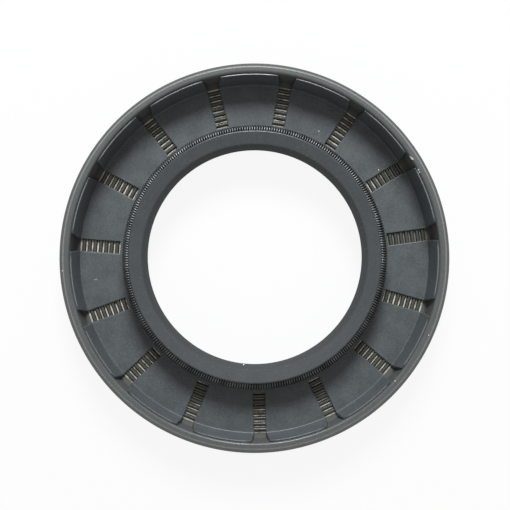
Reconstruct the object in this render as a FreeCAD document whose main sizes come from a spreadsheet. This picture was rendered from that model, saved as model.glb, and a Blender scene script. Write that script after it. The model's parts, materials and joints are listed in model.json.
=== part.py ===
"""Radial shaft seal: a rubber body moulded round a steel case, with a garter spring behind its lip.

The back face lies on Z = 0 and the spring side looks up +Z, which is the shaft's axis.
"""
import FreeCAD, Part
import os
import Sketcher

# The driving dimensions, in millimetres and degrees: alias, value, meaning.
SIZES = [
    ("housing_diameter", 80.0, "bore of the housing that the seal is pressed into"),
    ("press_allowance", 0.3, "how much larger than that bore the seal's outside is"),
    ("seal_width", 10.0, "back face to rim"),
    ("shaft_diameter", 45.0, "shaft that the lip runs on"),
    ("lip_interference", 0.8, "how much smaller than the shaft the free lip is"),
    ("outer_cover", 1.05, "rubber outside the case wall"),
    ("back_cover", 1.0, "rubber behind the case flange"),
    ("end_cover", 1.0, "rubber over the free end of the case wall"),
    ("rim_bevel_width", 0.8, "bevel from the rim to the outside, across"),
    ("rim_bevel_height", 1.5, "bevel from the rim to the outside, along the axis"),
    ("lead_in_width", 0.85, "lead-in bevel at the back, across"),
    ("lead_in_height", 2.0, "lead-in bevel at the back, along the axis"),
    ("case_thickness", 1.2, "sheet of the case"),
    ("case_bend", 1.0, "inner radius of the bend from flange to wall"),
    ("flange_cover", 1.4, "rubber round the edge of the hole in the flange"),
    ("back_clearance", 2.3, "from the shaft to the hole in the back face"),
    ("liner_top", 0.3, "rubber inside the case wall, at its top"),
    ("liner_foot", 1.0, "rubber inside the case wall, at its foot"),
    ("liner_drop", 0.4, "from the rim down to the top of the liner"),
    ("floor_cover", 0.7, "rubber over the flange"),
    ("slot_count", 15, "moulding slots in the floor and the liner"),
    ("slot_width", 2.44, "a slot at the flange"),
    ("slot_draft", 5.0, "draft of a slot's sides"),
    ("slot_margin", 1.05, "from the foot of the neck to a slot's inner end"),
    ("first_slot_angle", 7.4, "from +X to the first slot"),
    ("ridge_count", 7, "ridges across a slot's floor"),
    ("ridge_height", 0.4, "a ridge above the flange"),
    ("strip_width", 0.3, "bare steel between two ridges"),
    ("neck_thickness", 1.6, "flex section between the floor and the lip head"),
    ("neck_fillet", 1.5, "rounding from the floor to the neck"),
    ("neck_root", 1.0, "from the flange up to where the neck's bore narrows"),
    ("face_recess", 0.8, "from the rim down to the outer edge of the lip head's face"),
    ("face_fall", 0.4, "how far that face falls towards the bore"),
    ("bevel_height", 1.4, "from the face's outer edge down to the sealing edge"),
    ("oil_angle", 50.0, "oil-side bevel from the axis"),
    ("air_angle", 25.0, "air-side cone from the axis"),
    ("edge_land", 0.3, "length of the sealing edge"),
    ("cone_rise", 1.4, "how far the air-side cone opens"),
    ("head_thickness", 3.0, "rubber between the sealing edge and the spring groove"),
    ("spring_offset", 0.3, "from the sealing edge back to the spring's plane"),
    ("coil_diameter", 2.3, "outside of the spring's coil"),
    ("spring_clearance", 0.05, "play of the coil in its groove"),
    ("heel_inset", 0.4, "neck's outside, inside the ring line of the spring"),
    ("bead_inset", 0.2, "lip head's outside, inside the ring line of the spring"),
]

# Derived places, as expressions on the sheet: radii from the axis and heights above the back face.
OUTER_R = "((sizes.housing_diameter + sizes.press_allowance) / 2)"
CASE_OUTER_R = f"({OUTER_R} - sizes.outer_cover)"
CASE_INNER_R = f"({CASE_OUTER_R} - sizes.case_thickness)"
FLOOR_OUTER_R = f"({CASE_INNER_R} - sizes.case_bend)"
CASE_TOP = "(sizes.seal_width - sizes.end_cover)"
FLANGE_TOP = "(sizes.back_cover + sizes.case_thickness)"
FLOOR = f"({FLANGE_TOP} + sizes.floor_cover)"
LINER_TOP = "(sizes.seal_width - sizes.liner_drop)"
BACK_HOLE_R = "(sizes.shaft_diameter / 2 + sizes.back_clearance)"
FLANGE_HOLE_R = f"({BACK_HOLE_R} + sizes.flange_cover)"
EDGE_R = "((sizes.shaft_diameter - sizes.lip_interference) / 2)"
HEAD_FACE = "(sizes.seal_width - sizes.face_recess)"
EDGE = f"({HEAD_FACE} - sizes.bevel_height)"
CONE_END_R = f"({EDGE_R} + sizes.cone_rise)"
CONE_END = f"({EDGE} - sizes.edge_land - sizes.cone_rise / tan(sizes.air_angle))"
COIL_R = "(sizes.coil_diameter / 2)"
GROOVE_R = f"({COIL_R} + sizes.spring_clearance)"
SPRING_R = f"({EDGE_R} + sizes.head_thickness + {GROOVE_R})"
SPRING_PLANE = f"({EDGE} - sizes.spring_offset)"
NECK_R = f"({SPRING_R} - sizes.heel_inset)"
BEAD_R = f"({SPRING_R} - sizes.bead_inset)"
SLOT_INNER_R = f"({NECK_R} + sizes.neck_fillet + sizes.slot_margin)"
RIDGE_PITCH = f"(({FLOOR_OUTER_R} - {SLOT_INNER_R} - sizes.strip_width) / sizes.ridge_count)"

# Round stretches of a section are drawn as chords, so that the solids keep few faces.
COIL_CHORDS = 8
BEND_CHORDS = 1
NECK_CHORDS = 2

ROOT = -1  # a sketch's own name for its origin


def fill_sheet(doc):
    """Put the driving dimensions in a sheet, one row each, with an alias for its value."""
    sheet = doc.addObject("Spreadsheet::Sheet", "sizes")
    for row, (alias, value, meaning) in enumerate(SIZES, start=1):
        sheet.set(f"A{row}", alias)
        sheet.set(f"B{row}", str(value))
        sheet.set(f"C{row}", meaning)
        sheet.setAlias(f"B{row}", alias)
    doc.recompute()


def origin_feature(body, role):
    return next(item for item in body.Origin.OriginFeatures if item.Role == role)


def new_sketch(body, name, plane):
    sketch = body.newObject("Sketcher::SketchObject", name)
    sketch.AttachmentSupport = [(origin_feature(body, plane), "")]
    sketch.MapMode = "FlatFace"
    return sketch


def fixed_point(sketch, name, across, along):
    """A construction point whose place is two expressions; returns its index in the sketch."""
    index = sketch.addGeometry(Part.Point(FreeCAD.Vector(1, 1, 0)), True)
    for axis, expression in (("X", across), ("Y", along)):
        label = f"{name}_{axis.lower()}"
        number = sketch.addConstraint(
            Sketcher.Constraint(f"Distance{axis}", ROOT, 1, index, 1, 1.0)
        )
        sketch.renameConstraint(number, label)
        sketch.setExpression(f"Constraints.{label}", expression)
    return index


def draw_outline(sketch, name, corners):
    """Draw a closed outline through corners, each given by its expressions across and along."""
    points = [
        fixed_point(sketch, f"{name}{number}", across, along)
        for number, (across, along) in enumerate(corners)
    ]
    sketch.Document.recompute()
    places = [FreeCAD.Vector(sketch.Geometry[i].X, sketch.Geometry[i].Y, 0) for i in points]
    sides = [
        sketch.addGeometry(Part.LineSegment(place, following), False)
        for place, following in zip(places, places[1:] + places[:1])
    ]
    for number, side in enumerate(sides):
        sketch.addConstraint(Sketcher.Constraint("Coincident", sides[number - 1], 2, side, 1))
        sketch.addConstraint(Sketcher.Constraint("Coincident", side, 1, points[number], 1))


def round_stretch(centre, radius, first, last, chords):
    """Corners of an arc drawn as chords, from one angle in degrees to another."""
    angles = [first + (last - first) * step / chords for step in range(chords + 1)]
    return [
        (f"{centre[0]} + {radius} * cos({angle})", f"{centre[1]} + {radius} * sin({angle})")
        for angle in angles
    ]


def draw_coil_section(sketch, radius):
    """The spring's round section, or its groove's, at the spring's ring line."""
    corners = round_stretch((SPRING_R, SPRING_PLANE), radius, 0, 360, COIL_CHORDS)
    draw_outline(sketch, "coil", corners[:-1])


def turn(body, kind, name, sketch):
    """Revolve a sketch round the seal's axis: kind is Revolution to add or Groove to cut."""
    feature = body.newObject(f"PartDesign::{kind}", name)
    feature.Profile = sketch
    feature.ReferenceAxis = (sketch, ["V_Axis"])
    feature.Angle = 360
    body.Document.recompute()
    return feature


def check_cut(before, feature, what):
    """A groove or pocket that points away from the solid cuts nothing and says nothing."""
    if not feature.Shape.Volume < before - 1:
        raise RuntimeError(f"{what} cut nothing")


def draw_case_section(sketch):
    """The case's L: a flange at the back and a wall, with a pressed bend between them."""
    bend_centre = (FLOOR_OUTER_R, f"({FLANGE_TOP} + sizes.case_bend)")
    outside = round_stretch(
        bend_centre, "(sizes.case_bend + sizes.case_thickness)", 270, 360, BEND_CHORDS
    )
    inside = round_stretch(bend_centre, "sizes.case_bend", 360, 270, BEND_CHORDS)
    corners = [(FLANGE_HOLE_R, "sizes.back_cover")]
    corners += outside
    corners += [(CASE_OUTER_R, CASE_TOP), (CASE_INNER_R, CASE_TOP)]
    corners += inside
    corners += [(FLANGE_HOLE_R, FLANGE_TOP)]
    draw_outline(sketch, "case", corners)


def make_inner_moulding(body):
    """Back, floor, liner, neck and lip head: all the rubber inside the case wall."""
    neck_centre = (f"({NECK_R} + sizes.neck_fillet)", f"({FLOOR} + sizes.neck_fillet)")
    corners = [
        (BACK_HOLE_R, "0"),
        (CASE_INNER_R, "0"),
        (CASE_INNER_R, LINER_TOP),
        (f"{CASE_INNER_R} - sizes.liner_top", LINER_TOP),
        (f"{CASE_INNER_R} - sizes.liner_foot", FLOOR),
    ]
    corners += round_stretch(neck_centre, "sizes.neck_fillet", 270, 180, NECK_CHORDS)
    corners += [
        (NECK_R, SPRING_PLANE),
        (BEAD_R, SPRING_PLANE),
        (BEAD_R, HEAD_FACE),
        (
            f"{EDGE_R} + (sizes.bevel_height - sizes.face_fall) * tan(sizes.oil_angle)",
            f"{HEAD_FACE} - sizes.face_fall",
        ),
        (EDGE_R, EDGE),
        (EDGE_R, f"{EDGE} - sizes.edge_land"),
        (CONE_END_R, CONE_END),
        (f"{NECK_R} - sizes.neck_thickness", f"{FLANGE_TOP} + sizes.neck_root"),
    ]
    sketch = new_sketch(body, "inner_section", "XZ_Plane")
    draw_outline(sketch, "inner", corners)
    turn(body, "Revolution", "inner_moulding", sketch)


def aim_at_first_slot(sketch, out_from_axis):
    """Turn a sketch's upright plane to the first slot and move it out along that slot."""
    sketch.AttachmentOffset = FreeCAD.Placement(
        FreeCAD.Vector(0, 0, 0), FreeCAD.Rotation(FreeCAD.Vector(0, 1, 0), 1)
    )
    sketch.setExpression("AttachmentOffset.Rotation.Angle", "sizes.first_slot_angle")
    sketch.setExpression(
        "AttachmentOffset.Base.x", f"{out_from_axis} * sin(sizes.first_slot_angle)"
    )
    sketch.setExpression(
        "AttachmentOffset.Base.z", f"{out_from_axis} * cos(sizes.first_slot_angle)"
    )


def cut_first_slot(body):
    """The mark of a mould post: down to the flange, out to the case wall, wider at the rim.

    The post's section stands across the slot at its inner end and runs straight out from the axis.
    """
    before = body.Shape.Volume
    sketch = new_sketch(body, "post_section", "YZ_Plane")
    aim_at_first_slot(sketch, SLOT_INNER_R)
    half_foot = "(sizes.slot_width / 2)"
    half_top = f"({half_foot} + (sizes.seal_width - {FLANGE_TOP}) * tan(sizes.slot_draft))"
    draw_outline(
        sketch,
        "post",
        [
            (f"-{half_foot}", FLANGE_TOP),
            (half_foot, FLANGE_TOP),
            (half_top, "sizes.seal_width"),
            (f"-{half_top}", "sizes.seal_width"),
        ],
    )
    pocket = body.newObject("PartDesign::Pocket", "slot")
    pocket.Profile = sketch
    pocket.Reversed = True
    pocket.setExpression("Length", f"{CASE_OUTER_R} - {SLOT_INNER_R}")
    body.Document.recompute()
    check_cut(before, pocket, "the slot")
    return pocket


def add_first_ridges(body):
    """Ridges of rubber across the slot's floor, which leave narrow strips of the flange bare.

    They run on into the panels on both sides, by as much as the slot's draft could ever open.
    """
    ridge_count = int(body.Document.getObject("sizes").ridge_count)
    sketch = new_sketch(body, "ridge_sections", "XZ_Plane")
    aim_at_first_slot(sketch, "0")
    for ridge in range(ridge_count):
        inner_foot = f"({SLOT_INNER_R} + sizes.strip_width + {ridge} * {RIDGE_PITCH})"
        outer_foot = f"({SLOT_INNER_R} + {ridge + 1} * {RIDGE_PITCH})"
        draw_outline(
            sketch,
            f"ridge{ridge}_",
            [
                (inner_foot, FLANGE_TOP),
                (outer_foot, FLANGE_TOP),
                (f"({inner_foot} + {outer_foot}) / 2", f"{FLANGE_TOP} + sizes.ridge_height"),
            ],
        )
    pad = body.newObject("PartDesign::Pad", "ridges")
    pad.Profile = sketch
    pad.Midplane = True
    pad.setExpression("Length", "sizes.slot_width + 2 * sizes.ridge_height")
    body.Document.recompute()
    return pad


def repeat_slots(body, features):
    """Repeat the first slot and its ridges round the axis."""
    before = body.Shape.Volume
    pattern = body.newObject("PartDesign::PolarPattern", "slots")
    pattern.Originals = features
    pattern.Axis = (origin_feature(body, "Z_Axis"), [""])
    pattern.Angle = 360
    pattern.setExpression("Occurrences", "sizes.slot_count")
    body.Tip = pattern
    body.Document.recompute()
    check_cut(before, pattern, "the slot pattern")


def add_outer_cover(body):
    """Rim, outside and lead-in: the rubber from the case wall outwards."""
    sketch = new_sketch(body, "cover_section", "XZ_Plane")
    draw_outline(
        sketch,
        "cover",
        [
            (CASE_INNER_R, "0"),
            (f"{OUTER_R} - sizes.lead_in_width", "0"),
            (OUTER_R, "sizes.lead_in_height"),
            (OUTER_R, "sizes.seal_width - sizes.rim_bevel_height"),
            (f"{OUTER_R} - sizes.rim_bevel_width", "sizes.seal_width"),
            (CASE_INNER_R, "sizes.seal_width"),
        ],
    )
    turn(body, "Revolution", "outer_cover", sketch)


def make_rubber_body(doc):
    """The moulding: the cover comes after the slots, so that they end at the case wall."""
    body = doc.addObject("PartDesign::Body", "rubber_body")
    make_inner_moulding(body)

    before = body.Shape.Volume
    groove_sketch = new_sketch(body, "groove_section", "XZ_Plane")
    draw_coil_section(groove_sketch, GROOVE_R)
    check_cut(before, turn(body, "Groove", "spring_groove", groove_sketch), "the spring groove")

    slot = cut_first_slot(body)
    repeat_slots(body, [slot, add_first_ridges(body)])
    add_outer_cover(body)

    before = body.Shape.Volume
    seat_sketch = new_sketch(body, "case_seat_section", "XZ_Plane")
    draw_case_section(seat_sketch)
    check_cut(before, turn(body, "Groove", "case_seat", seat_sketch), "the case seat")
    return body


def make_steel_case(doc):
    body = doc.addObject("PartDesign::Body", "steel_case")
    sketch = new_sketch(body, "case_section", "XZ_Plane")
    draw_case_section(sketch)
    turn(body, "Revolution", "pressed_ring", sketch)
    return body


def make_garter_spring(doc):
    """The spring's outer form: a closed ring as thick as its coil."""
    body = doc.addObject("PartDesign::Body", "garter_spring")
    sketch = new_sketch(body, "coil_section", "XZ_Plane")
    draw_coil_section(sketch, COIL_R)
    turn(body, "Revolution", "coil_ring", sketch)
    return body


def check_document(doc, bodies):
    """Stop if an object failed, a sketch isn't fully set, or a sub-part isn't one sound solid."""
    for item in doc.Objects:
        if "Invalid" in item.State or "Error" in item.State:
            raise RuntimeError(f"{item.Label}: {item.State}")
        if item.isDerivedFrom("Sketcher::SketchObject") and not item.FullyConstrained:
            raise RuntimeError(f"{item.Label} isn't fully constrained")
    for body in bodies:
        shape = body.Shape
        if shape.isNull() or not shape.isValid() or len(shape.Solids) != 1:
            raise RuntimeError(f"{body.Label} isn't one valid solid")


def main():
    doc = FreeCAD.newDocument("shaft_seal")
    fill_sheet(doc)
    bodies = [make_rubber_body(doc), make_steel_case(doc), make_garter_spring(doc)]
    doc.recompute()
    check_document(doc, bodies)

    os.makedirs("parts", exist_ok=True)
    for body in bodies:
        body.Shape.exportStep(f"parts/{body.Label}.step")
        print(body.Label, "volume", round(body.Shape.Volume, 1), "mm3")


main()
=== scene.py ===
"""Radial shaft seal around its frame: rubber moulding, slot ridges, pressed case and coil spring."""
import json
import math

import bmesh
import bpy
from bpy.props import FloatProperty, FloatVectorProperty, IntProperty, PointerProperty
from mathutils import Matrix, Vector


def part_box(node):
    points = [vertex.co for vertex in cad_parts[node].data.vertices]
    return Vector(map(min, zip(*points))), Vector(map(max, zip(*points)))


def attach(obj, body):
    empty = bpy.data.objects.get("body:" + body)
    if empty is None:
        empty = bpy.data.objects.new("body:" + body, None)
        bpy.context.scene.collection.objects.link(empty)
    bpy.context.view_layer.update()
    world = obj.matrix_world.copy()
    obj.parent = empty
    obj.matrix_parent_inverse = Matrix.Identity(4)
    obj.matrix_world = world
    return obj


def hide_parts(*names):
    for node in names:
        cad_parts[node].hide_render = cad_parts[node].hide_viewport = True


bl_info = {
    "name": "Radial Shaft Seal",
    "version": (1, 0, 0),
    "blender": (4, 5, 0),
    "location": "3D View > Sidebar > Seal",
    "description": "Builds a rubber-covered shaft seal with its case, its spring and a plain stage",
    "category": "Object",
}

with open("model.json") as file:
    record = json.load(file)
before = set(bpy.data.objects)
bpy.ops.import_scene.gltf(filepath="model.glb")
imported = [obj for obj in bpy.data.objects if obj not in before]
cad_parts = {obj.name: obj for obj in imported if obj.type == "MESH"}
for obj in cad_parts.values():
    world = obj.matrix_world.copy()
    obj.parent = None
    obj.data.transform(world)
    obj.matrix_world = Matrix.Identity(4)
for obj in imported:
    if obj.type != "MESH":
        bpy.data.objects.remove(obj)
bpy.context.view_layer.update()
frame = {"record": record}

MM = 0.001

# Places that the frame gives, in metres.
OUTER_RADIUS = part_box("rubber_body")[1].x
SEAL_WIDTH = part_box("rubber_body")[1].z
CASE_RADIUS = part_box("steel_case")[1].x
CASE_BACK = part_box("steel_case")[0].z
CASE_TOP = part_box("steel_case")[1].z
COIL_RADIUS = (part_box("garter_spring")[1].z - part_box("garter_spring")[0].z) / 2
SPRING_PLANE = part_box("garter_spring")[0].z + COIL_RADIUS
SPRING_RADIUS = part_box("garter_spring")[1].x - COIL_RADIUS
LIP_MOUNT = next(mount for mount in frame["record"]["mounts"] if mount["name"] == "shaft_lip")
LIP_RADIUS = LIP_MOUNT["dims"]["r_mm"] * MM
LIP_TOP = LIP_MOUNT["pos_m"][2] + LIP_MOUNT["dims"]["length_mm"] * MM / 2


# Properties

def number(name, description, default, **settings):
    return FloatProperty(name=name, description=description, default=default, **settings)


def length(name, description, default_mm):
    """A size in metres whose default is written in millimetres."""
    settings = {"min": 0.0, "precision": 5, "unit": "LENGTH", "subtype": "DISTANCE"}
    return number(name, description, default_mm * MM, **settings)


def angle(name, description, degrees):
    return number(name, description, math.radians(degrees), subtype="ANGLE", unit="ROTATION")


def count(name, description, default):
    return IntProperty(name=name, description=description, default=default, min=1)


def share(name, description, default):
    return number(name, description, default, min=0.0, max=1.0, subtype="FACTOR")


def power(name, description, default):
    return number(name, description, default, min=0.0, unit="POWER")


def level(name, description, default):
    return number(name, description, default, min=0.0)


def colour(name, description, red, green, blue):
    """A colour written as the eye sees it, from 0 to 255, and kept as scene-linear light."""
    shown = [value / 255 for value in (red, green, blue)]
    linear = [v / 12.92 if v <= 0.04045 else ((v + 0.055) / 1.055) ** 2.4 for v in shown]
    return FloatVectorProperty(
        name=name, description=description, default=linear, size=3, min=0.0, max=1.0, subtype="COLOR"
    )


class SealSizes(bpy.types.PropertyGroup):
    """Sizes of the moulding, the case and the spring that the frame's boxes don't give."""

    case_thickness: length("Case sheet", "Thickness of the case's sheet", 1.2)
    case_bend: length("Case bend", "Inner radius of the bend from flange to wall", 1.0)
    flange_hole: length("Flange hole", "Radius of the hole in the case's flange", 26.2)
    back_hole: length("Back hole", "Radius of the hole in the back face", 24.8)
    lead_in_width: length("Lead-in width", "Bevel at the back, across", 0.85)
    lead_in_height: length("Lead-in height", "Bevel at the back, along the axis", 2.0)
    rim_bevel_width: length("Rim bevel width", "Bevel from rim to outside, across", 1.0)
    rim_bevel_height: length("Rim bevel height", "Bevel from rim to outside, along the axis", 1.5)
    rim_rounding: length("Rim rounding", "Rounding of the rim's inner edge", 0.5)
    floor_cover: length("Floor cover", "Rubber over the case's flange", 0.7)
    liner_foot: length("Liner foot", "Rubber inside the case wall, at its foot", 1.0)
    liner_drop: length("Liner drop", "From the rim down to the top of the liner", 0.4)
    crown_width: length("Crown width", "Top of the liner, across", 0.28)
    crown_lean: angle("Crown lean", "How far the liner's top leans outwards", 17)
    gap_width: length("Gap width", "Open gap between the liner's top and the rim", 0.11)
    gap_depth: length("Gap depth", "From the liner's top down into that gap", 0.2)
    foot_rounding: length("Foot rounding", "Rounding from the floor to the liner", 0.35)
    neck_radius: length("Neck radius", "Outside radius of the neck", 25.9)
    neck_thickness: length("Neck thickness", "Flex section between floor and lip head", 1.6)
    neck_root: length("Neck root", "From the flange up to where the neck's bore narrows", 1.0)
    neck_fillet: length("Neck fillet", "Rounding from the floor to the neck", 1.5)
    bead_radius: length("Bead radius", "Outside radius of the lip head", 26.1)
    bead_rounding: length("Bead rounding", "Rounding of the lip head's outer edge", 0.3)
    face_recess: length("Face recess", "From the rim down to the face of the lip head", 0.8)
    face_fall: length("Face fall", "How far the lip head's face falls towards the bore", 0.5)
    bevel_width: length("Oil bevel", "Bevel from the sealing edge to the lip's face, across", 1.19)
    edge_land: length("Edge land", "Length of the sealing edge", 0.3)
    cone_width: length("Air cone", "How far the cone behind the sealing edge opens", 1.4)
    cone_height: length("Air cone height", "Length of the cone behind the sealing edge", 3.0)
    spring_clearance: length("Spring clearance", "Play of the coil in its groove", 0.05)
    slot_count: count("Slots", "Moulding slots in the floor and the liner", 15)
    first_slot: angle("First slot", "From +X to the first slot", 7.4)
    slot_inner: length("Slot's inner end", "Radius of a slot's inner end", 28.45)
    slot_width: length("Slot width", "A slot at the flange", 2.44)
    slot_draft: angle("Slot draft", "Draft of a slot's sides", 5.0)
    slot_rounding: length("Slot rounding", "Rounding of a slot's edges", 0.16)
    ridge_count: count("Ridges", "Ridges across a slot's floor", 7)
    ridge_height: length("Ridge height", "A ridge above the flange", 0.4)
    ridge_foot: length("Ridge foot", "A ridge at the flange, along the slot", 0.914)
    ridge_top: length("Ridge top", "Flat top of a ridge, along the slot", 0.36)
    ridge_rounding: length("Ridge rounding", "Rounding of a ridge's top edges", 0.22)
    strip_width: length("Strip width", "Bare steel between two ridges", 0.25)
    coil_turns: count("Coil turns", "Turns of wire round the whole spring", 326)
    wire_diameter: length("Wire", "Diameter of the spring's wire", 0.39)


class SealFinish(bpy.types.PropertyGroup):
    """Colours and roughness of the rubber, the case and the spring."""

    rubber: colour("Rubber", "Moulded rubber", 93, 98, 101)
    rubber_dark: colour("Rubber, dark patches", "Darker patches of the rubber", 81, 86, 89)
    rubber_rim: colour("Rubber, rim", "Even bloom on the top of the rim", 91, 94, 93)
    # Pale rubbed line on the rim's corner that also stands in for its highlight, and a painted highlight
    # along the liner's crown
    rubbed_line_and_highlight: colour("Rubber, rim corner", "Rubbed line there and on the liner's crown", 132, 136, 138)
    # Painted shade: darker rubber from the rim's bevel outwards
    rubber_outside_shade: colour("Rubber, outside", "Darker rubber from the rim's bevel outwards", 57, 57, 54)
    rubber_head: colour("Rubber, lip head", "Darker rubber of the lip head's face", 65, 69, 71)
    rubber_lip: colour("Rubber, lip", "Trimmed rubber between that face and the edge", 58, 60, 61)
    # Brown residue and painted shade low down in the slots; also the colour of the painted shade at the
    # crown's ends
    stain_and_shade: colour("Stain", "Brown residue low down in the slots", 34, 31, 27)
    dust: colour("Dust", "Fine flecks of dust", 135, 139, 141)
    # Pale flecks, and the painted glints of a nick
    mark: colour("Mark", "Pale nicks and larger flecks", 248, 250, 252)
    ridge: colour("Ridge tops", "Tops of the ridges, rubbed smooth", 80, 83, 80)
    case_coat: colour("Case coat", "Bonding coat on the flange", 228, 220, 203)
    case_worn: colour("Case coat, worn", "Browner patches of that coat", 128, 116, 93)
    # Painted shade: a darker coat laid over some slots
    case_painted_shade: colour("Case coat, dull", "Residue on parts of that coat", 104, 97, 82)
    case_wall: colour("Case wall", "Dark coat on the bend and the wall", 88, 90, 88)
    wire: colour("Wire", "Spring wire", 130, 132, 133)
    wire_dark: colour("Wire, oily", "Darker patches of the wire", 92, 94, 95)
    rubber_roughness: share("Rubber roughness", "Moulded rubber", 0.42)
    lip_roughness: share("Lip roughness", "Trimmed rubber of the lip", 0.7)
    edge_roughness: share("Edge roughness", "Polished edges of rim, liner and lip head", 0.28)
    ridge_roughness: share("Ridge roughness", "Ridges, rubbed smooth", 0.2)
    case_roughness: share("Case roughness", "Coated steel", 0.5)
    wall_roughness: share("Case wall roughness", "Dark coat on the case's bend and wall", 0.85)
    case_metallic: share("Case shine", "How much the coated flange looks like metal", 0.15)
    wire_roughness: share("Wire roughness", "Spring wire", 0.46)


class SealStage(bpy.types.PropertyGroup):
    """Camera, lamps and floor."""

    lens: number("Lens", "Focal length", 69.19, min=1.0, unit="CAMERA")
    camera_height: length("Camera height", "Camera above the back face", 210)
    camera_left: length("Camera left", "Camera to the left of the axis", 2.59)
    camera_down: length("Camera down", "Camera towards the photo's lower edge", 8.97)
    aim_up: length("Aim up", "Where the camera looks, above the axis in the photo", 0.23)
    camera_roll: angle("Camera roll", "Clockwise turn of the camera about its own axis", 0.4)
    lamp_distance: length("Key distance", "Main lamp from the seal", 600)
    key_azimuth: angle("Key azimuth", "Main lamp round the axis, from +X", 90)
    key_elevation: angle("Key elevation", "Main lamp above the horizon", 44)
    key_size: length("Key size", "Diameter of the main lamp", 260)
    key_power: power("Key power", "Main lamp, at the photo's upper edge", 3.92)
    key_colour: colour("Key colour", "Main lamp", 248, 253, 255)
    sky_level: level("Sky", "Even light from all round", 0.308)
    fill_level: level("Fill", "Light added low down, at the photo's lower edge", 0.195)
    sky_colour: colour("Sky colour", "Sky and fill", 255, 252, 248)
    floor_radius: length("Floor radius", "Radius of the pale floor", 3000)
    floor_gap: length("Floor gap", "Hair's breadth between the floor and the back face", 0.05)
    floor_white: share("Floor white", "Share of plain white in the floor", 0.9)


# Sections and meshes

ARC_STEP = math.radians(15)       # one step of a rounding
SHARP_ANGLE = math.radians(60)    # edges that turn further than this are shaded as corners
EDGE_SUPPORT = 0.05 * MM          # a row this far from each rounding keeps the shading of flats level
PANEL_COLUMNS = 9                 # columns from a slot's edge to the middle of the panel beside it
FLOOR_SHARES = (0.02, 0.27, 0.51, 0.75)   # rows across a slot's floor
LINER_SHARES = (0.3, 0.65)                # rows up the liner
GROOVE_STEPS = 14
CASE_STEPS = 240
COIL_POINTS = 12                  # points of the wire's line in one turn
WIRE_SIDES = 8
FLOOR_SIDES = 96
SEAM = 0.002 * MM                 # neighbouring sectors' edges closer than this are one

# Small sizes of the rubber's section.
CROWN_INSIDE = 0.09 * MM      # roundings of the liner's crown
CROWN_OUTSIDE = 0.07 * MM
GAP_TAPER = 0.05 * MM         # how far the gap's inner side leans outwards
LEDGE_RISE = 0.04 * MM        # from the gap's bottom up to the rim's first row
CASE_END = 0.3 * MM           # the case wall's last stretch, which lies behind the crown
SMALL_EDGE = 0.25 * MM        # rounding of the edges of the rim and the back face
PLAIN_EDGE = 0.5 * MM         # rounding of the outside, the air cone and the lip's face
NECK_EDGE = 0.8 * MM
SEALING_EDGE = 0.06 * MM
NECK_START = 0.02 * MM        # from the spring's groove down to the neck's first row


def polar(centre, radius, turn):
    return (centre[0] + radius * math.cos(turn), centre[1] + radius * math.sin(turn))


def arc(centre, radius, first, last, steps):
    """Points of an arc from one angle to another, both ends included."""
    return [polar(centre, radius, first + (last - first) * i / steps) for i in range(steps + 1)]


def rounded(corners):
    """An open outline as points. Each corner is (radius from the axis, height, rounding)."""
    points = [tuple(corners[0][:2])]
    for before, corner, after in zip(corners, corners[1:], corners[2:]):
        here = Vector(corner[:2])
        back = (Vector(before[:2]) - here).normalized()
        ahead = (Vector(after[:2]) - here).normalized()
        if not corner[2]:
            points.append(tuple(here))
            continue
        half = back.angle(ahead) / 2
        run = corner[2] / math.tan(half)
        centre = here + (back + ahead).normalized() * corner[2] / math.sin(half)
        first = here + back * run - centre
        last = here + ahead * run - centre
        start = math.atan2(first.y, first.x)
        turn = math.remainder(math.atan2(last.y, last.x) - start, math.tau)
        steps = max(2, round(abs(turn) / ARC_STEP))
        points.append(tuple(centre + first + back * EDGE_SUPPORT))
        points += arc(centre, corner[2], start, start + turn, steps)
        points.append(tuple(centre + last + ahead * EDGE_SUPPORT))
    points.append(tuple(corners[-1][:2]))
    return points


def between(first, last, part):
    return tuple(a + (b - a) * part for a, b in zip(first, last))


def new_object(name, mesh):
    piece = bpy.data.objects.new(name, mesh)
    bpy.context.scene.collection.objects.link(piece)
    return piece


def mesh_from(name, build):
    """A mesh that build fills through bmesh."""
    shape = bmesh.new()
    build(shape)
    mesh = bpy.data.meshes.new(name)
    shape.to_mesh(mesh)
    shape.free()
    return mesh


def finish_mesh(mesh):
    """Faces outwards, smooth but for true corners."""
    shape = bmesh.new()
    shape.from_mesh(mesh)
    bmesh.ops.recalc_face_normals(shape, faces=shape.faces)
    shape.to_mesh(mesh)
    shape.free()
    mesh.polygons.foreach_set("use_smooth", [True] * len(mesh.polygons))
    mesh.set_sharp_from_angle(angle=SHARP_ANGLE)


def bridge(shape, rows, columns=None):
    """Quads between neighbouring rows of vertices; columns limits them to some of the gaps."""
    for lower, upper in zip(rows, rows[1:]):
        for c in columns if columns is not None else range(len(lower) - 1):
            shape.faces.new((lower[c], lower[c + 1], upper[c + 1], upper[c]))


# Heights and radii that several pieces share

def case_inner(sizes):
    return CASE_RADIUS - sizes.case_thickness


def flange_top(sizes):
    return CASE_BACK + sizes.case_thickness


def slot_half_width(sizes, height):
    return sizes.slot_width / 2 + (height - flange_top(sizes)) * math.tan(sizes.slot_draft)


def case_section(sizes):
    """The pressed case's outline from the slot's inner end over the wall and back along the flange."""
    wall = case_inner(sizes)
    top = flange_top(sizes)
    inside = rounded([(sizes.slot_inner, top, 0), (wall, top, sizes.case_bend), (wall, CASE_TOP, 0)])
    outside = rounded(
        [
            (CASE_RADIUS, CASE_TOP, 0),
            (CASE_RADIUS, CASE_BACK, sizes.case_bend + sizes.case_thickness),
            (sizes.flange_hole, CASE_BACK, 0),
        ]
    )
    return inside, outside + [(sizes.flange_hole, top), (sizes.slot_inner, top)]


# The rubber moulding

def gap_bottom(sizes):
    """Height of the bottom of the gap between the liner's top and the rim."""
    return SEAL_WIDTH - sizes.liner_drop - sizes.gap_depth


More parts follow.
